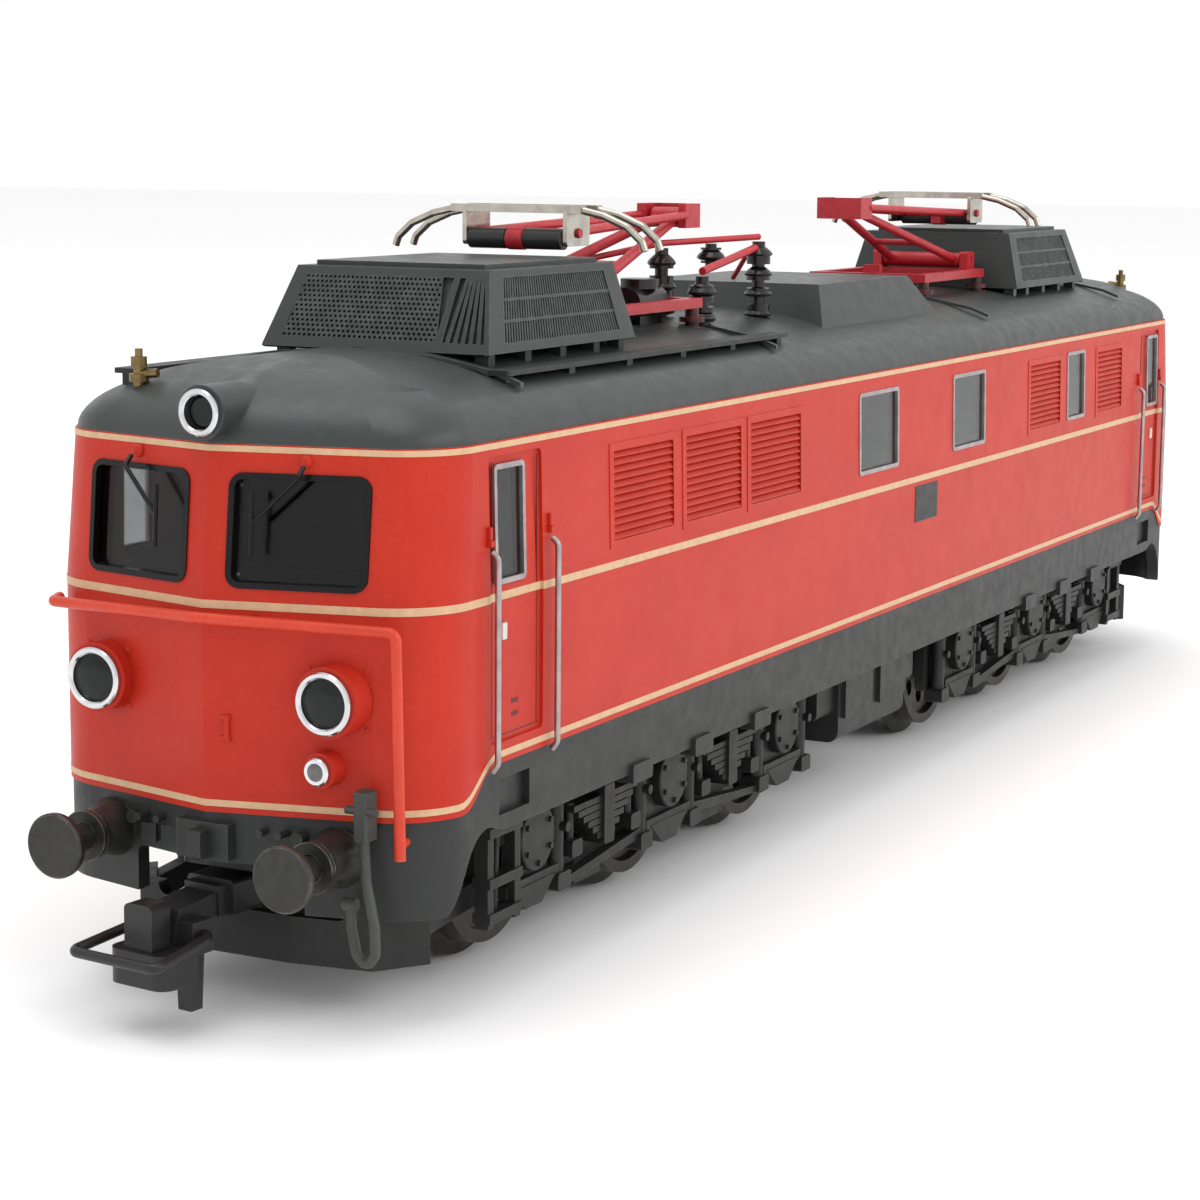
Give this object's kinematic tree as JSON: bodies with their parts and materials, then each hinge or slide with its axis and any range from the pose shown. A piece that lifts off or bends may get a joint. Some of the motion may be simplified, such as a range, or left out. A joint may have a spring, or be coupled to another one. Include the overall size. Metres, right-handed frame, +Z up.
{
  "type": "model electric locomotive",
  "caption": "Scale model electric locomotive: red body with cabs at both ends, grey roof with folding pantographs, powered bogies, sprung buffers and hook couplers.",
  "frame": {"origin": "on the track centre line, midway between the ends, at the lowest point of the wheel flanges", "axes": "+X along the track towards the rear end, +Y across it, +Z up"},
  "size_m": [0.2178, 0.0368, 0.0598],
  "materials": {
    "body_red": "satin painted shell",
    "frame_grey": "satin",
    "roof_grey": "satin painted roof",
    "clear_glass": "clear moulded pane",
    "window_alloy": "printed silver",
    "seal_rubber": "satin black",
    "lamp_chrome": "bright",
    "lamp_glass": "clear lens on dark bowl",
    "circuit_green": "satin solder mask",
    "insulator_brown": "satin",
    "line_red": "satin",
    "brass": "turned",
    "rail_orange": "satin",
    "cab_brown": "matte",
    "steel": "plain",
    "buffer_black": "blackened metal, worn at the rim",
    "hose_rubber": "satin",
    "cast_zinc": "die cast",
    "coupler_black": "satin",
    "bogie_grey": "matte",
    "gear_plastic": "satin",
    "nickel": "nickel plated"
  },
  "bodies": {
    "root": {"chassis_block": "cast_zinc", "underframe_skirt": "frame_grey", "body_shell": "body_red", "roof_shell": "roof_grey", "window_glazing": "clear_glass", "window_frames": "window_alloy", "windscreen_seals": "seal_rubber", "lamp_rims": "lamp_chrome", "lamp_lenses": "lamp_glass", "circuit_board": "circuit_green", "roof_coolers": "roof_grey", "roof_insulators": "insulator_brown", "roof_busbars": "line_red", "roof_walkways": "roof_grey", "roof_whistles": "brass", "end_handrails": "rail_orange", "door_handrails": "window_alloy", "wipers": "seal_rubber", "cab_interiors": "cab_brown", "motor_housing": "steel", "chassis_screws": "steel", "buffer_sleeves": "buffer_black", "brake_hoses": "hose_rubber", "underfloor_tanks": "frame_grey", "coupler_mounts": "coupler_black", "pantograph_base_front": "line_red", "pantograph_base_rear": "line_red"},
    "drive_rotor": {"motor_rotor": "steel", "flywheels": "brass", "cardan_shafts": "steel"},
    "bogie_front": {"bogie_frame_front": "bogie_grey", "gearbox_front": "gear_plastic", "pickups_front": "brass"},
    "worm_front": {"worm_front": "brass"},
    "idler_front": {"idler_gear_front": "gear_plastic"},
    "wheelset_1": {"wheelset_1": "nickel"},
    "wheelset_2": {"wheelset_2": "nickel"},
    "wheelset_3": {"wheelset_3": "nickel"},
    "coupler_front": {"coupler_front": "coupler_black"},
    "coupler_loop_front": {"coupler_loop_front": "coupler_black"},
    "buffer_left_front": {"buffer_plunger_left_front": "buffer_black"},
    "buffer_right_front": {"buffer_plunger_right_front": "buffer_black"},
    "pantograph_front_lower": {"pantograph_lower_arm_front": "line_red"},
    "pantograph_front_upper": {"pantograph_upper_arm_front": "line_red"},
    "pantograph_front_head": {"pantograph_head_front": "nickel"},
    "bogie_rear": {"bogie_frame_rear": "bogie_grey", "gearbox_rear": "gear_plastic", "pickups_rear": "brass"},
    "worm_rear": {"worm_rear": "brass"},
    "idler_rear": {"idler_gear_rear": "gear_plastic"},
    "wheelset_6": {"wheelset_6": "nickel"},
    "wheelset_5": {"wheelset_5": "nickel"},
    "wheelset_4": {"wheelset_4": "nickel"},
    "coupler_rear": {"coupler_rear": "coupler_black"},
    "coupler_loop_rear": {"coupler_loop_rear": "coupler_black"},
    "buffer_left_rear": {"buffer_plunger_left_rear": "buffer_black"},
    "buffer_right_rear": {"buffer_plunger_right_rear": "buffer_black"},
    "pantograph_rear_lower": {"pantograph_lower_arm_rear": "line_red"},
    "pantograph_rear_upper": {"pantograph_upper_arm_rear": "line_red"},
    "pantograph_rear_head": {"pantograph_head_rear": "nickel"}
  },
  "joints": [
    {"name": "motor_spin", "type": "hinge", "parent": "root", "child": "drive_rotor", "pos_m": [0, 0, 0.0237], "axis": [1, 0, 0], "continuous": true},
    {"name": "bogie_front_swivel", "type": "hinge", "parent": "root", "child": "bogie_front", "pos_m": [-0.04975, 0, 0.014], "axis": [0, 0, 1], "range_deg": [-6.5, 6.5]},
    {"name": "worm_front_spin", "type": "hinge", "parent": "bogie_front", "child": "worm_front", "pos_m": [-0.03725, 0, 0.0237], "axis": [1, 0, 0], "continuous": true},
    {"name": "idler_front_spin", "type": "hinge", "parent": "bogie_front", "child": "idler_front", "pos_m": [-0.03725, 0, 0.01304], "axis": [0, 1, 0], "continuous": true},
    {"name": "wheelset_1_spin", "type": "hinge", "parent": "bogie_front", "child": "wheelset_1", "pos_m": [-0.07475, 0, 0.00865], "axis": [0, 1, 0], "continuous": true},
    {"name": "wheelset_2_spin", "type": "hinge", "parent": "bogie_front", "child": "wheelset_2", "pos_m": [-0.04975, 0, 0.00865], "axis": [0, 1, 0], "continuous": true},
    {"name": "wheelset_3_spin", "type": "hinge", "parent": "bogie_front", "child": "wheelset_3", "pos_m": [-0.02475, 0, 0.00865], "axis": [0, 1, 0], "continuous": true},
    {"name": "coupler_front_swing", "type": "hinge", "parent": "root", "child": "coupler_front", "pos_m": [-0.08925, 0, 0.009], "axis": [0, 0, 1], "range_deg": [-12, 12], "stiffness_Nm_per_rad": 0.0005},
    {"name": "coupler_loop_front_lift", "type": "hinge", "parent": "coupler_front", "child": "coupler_loop_front", "pos_m": [-0.10176, 0.00149, 0.0074], "axis": [0.1184, 0.993, 0], "range_deg": [0, 25]},
    {"name": "buffer_left_front_slide", "type": "slide", "parent": "root", "child": "buffer_left_front", "axis": [1, 0, 0], "range_m": [0, 0.0018], "stiffness_N_per_m": 150},
    {"name": "buffer_right_front_slide", "type": "slide", "parent": "root", "child": "buffer_right_front", "axis": [1, 0, 0], "range_m": [0, 0.0018], "stiffness_N_per_m": 150},
    {"name": "pantograph_front_raise", "type": "hinge", "parent": "root", "child": "pantograph_front_lower", "pos_m": [-0.04725, 0, 0.052], "axis": [0, -1, 0], "range_deg": [0, 28]},
    {"name": "pantograph_front_knee", "type": "hinge", "parent": "pantograph_front_lower", "child": "pantograph_front_upper", "pos_m": [-0.02225, 0, 0.0582], "axis": [0, 1, 0], "range_deg": [0, 56]},
    {"name": "pantograph_front_head_level", "type": "hinge", "parent": "pantograph_front_upper", "child": "pantograph_front_head", "pos_m": [-0.05075, 0, 0.0574], "axis": [0, -1, 0], "range_deg": [0, 28]},
    {"name": "bogie_rear_swivel", "type": "hinge", "parent": "root", "child": "bogie_rear", "pos_m": [0.04975, 0, 0.014], "axis": [0, 0, 1], "range_deg": [-6.5, 6.5]},
    {"name": "worm_rear_spin", "type": "hinge", "parent": "bogie_rear", "child": "worm_rear", "pos_m": [0.03725, 0, 0.0237], "axis": [1, 0, 0], "continuous": true},
    {"name": "idler_rear_spin", "type": "hinge", "parent": "bogie_rear", "child": "idler_rear", "pos_m": [0.03725, 0, 0.01304], "axis": [0, 1, 0], "continuous": true},
    {"name": "wheelset_6_spin", "type": "hinge", "parent": "bogie_rear", "child": "wheelset_6", "pos_m": [0.07475, 0, 0.00865], "axis": [0, 1, 0], "continuous": true},
    {"name": "wheelset_5_spin", "type": "hinge", "parent": "bogie_rear", "child": "wheelset_5", "pos_m": [0.04975, 0, 0.00865], "axis": [0, 1, 0], "continuous": true},
    {"name": "wheelset_4_spin", "type": "hinge", "parent": "bogie_rear", "child": "wheelset_4", "pos_m": [0.02475, 0, 0.00865], "axis": [0, 1, 0], "continuous": true},
    {"name": "coupler_rear_swing", "type": "hinge", "parent": "root", "child": "coupler_rear", "pos_m": [0.08925, 0, 0.009], "axis": [0, 0, 1], "range_deg": [-12, 12], "stiffness_Nm_per_rad": 0.0005},
    {"name": "coupler_loop_rear_lift", "type": "hinge", "parent": "coupler_rear", "child": "coupler_loop_rear", "pos_m": [0.10176, -0.00149, 0.0074], "axis": [-0.1184, -0.993, 0], "range_deg": [0, 25]},
    {"name": "buffer_left_rear_slide", "type": "slide", "parent": "root", "child": "buffer_left_rear", "axis": [-1, 0, 0], "range_m": [0, 0.0018], "stiffness_N_per_m": 150},
    {"name": "buffer_right_rear_slide", "type": "slide", "parent": "root", "child": "buffer_right_rear", "axis": [-1, 0, 0], "range_m": [0, 0.0018], "stiffness_N_per_m": 150},
    {"name": "pantograph_rear_raise", "type": "hinge", "parent": "root", "child": "pantograph_rear_lower", "pos_m": [0.04725, 0, 0.052], "axis": [0, 1, 0], "range_deg": [0, 28]},
    {"name": "pantograph_rear_knee", "type": "hinge", "parent": "pantograph_rear_lower", "child": "pantograph_rear_upper", "pos_m": [0.02225, 0, 0.0582], "axis": [0, -1, 0], "range_deg": [0, 56]},
    {"name": "pantograph_rear_head_level", "type": "hinge", "parent": "pantograph_rear_upper", "child": "pantograph_rear_head", "pos_m": [0.05075, 0, 0.0574], "axis": [0, 1, 0], "range_deg": [0, 28]}
  ],
  "couplings": [
    {"joint": "worm_front_spin", "follows": "motor_spin", "ratio": 1},
    {"joint": "idler_front_spin", "follows": "motor_spin", "ratio": -0.025},
    {"joint": "wheelset_2_spin", "follows": "motor_spin", "ratio": 0.038462},
    {"joint": "wheelset_3_spin", "follows": "motor_spin", "ratio": 0.038462},
    {"joint": "pantograph_front_knee", "follows": "pantograph_front_raise", "ratio": 2},
    {"joint": "pantograph_front_head_level", "follows": "pantograph_front_raise", "ratio": 1},
    {"joint": "worm_rear_spin", "follows": "motor_spin", "ratio": 1},
    {"joint": "idler_rear_spin", "follows": "motor_spin", "ratio": -0.025},
    {"joint": "wheelset_5_spin", "follows": "motor_spin", "ratio": 0.038462},
    {"joint": "wheelset_4_spin", "follows": "motor_spin", "ratio": 0.038462},
    {"joint": "pantograph_rear_knee", "follows": "pantograph_rear_raise", "ratio": 2},
    {"joint": "pantograph_rear_head_level", "follows": "pantograph_rear_raise", "ratio": 1}
  ]
}
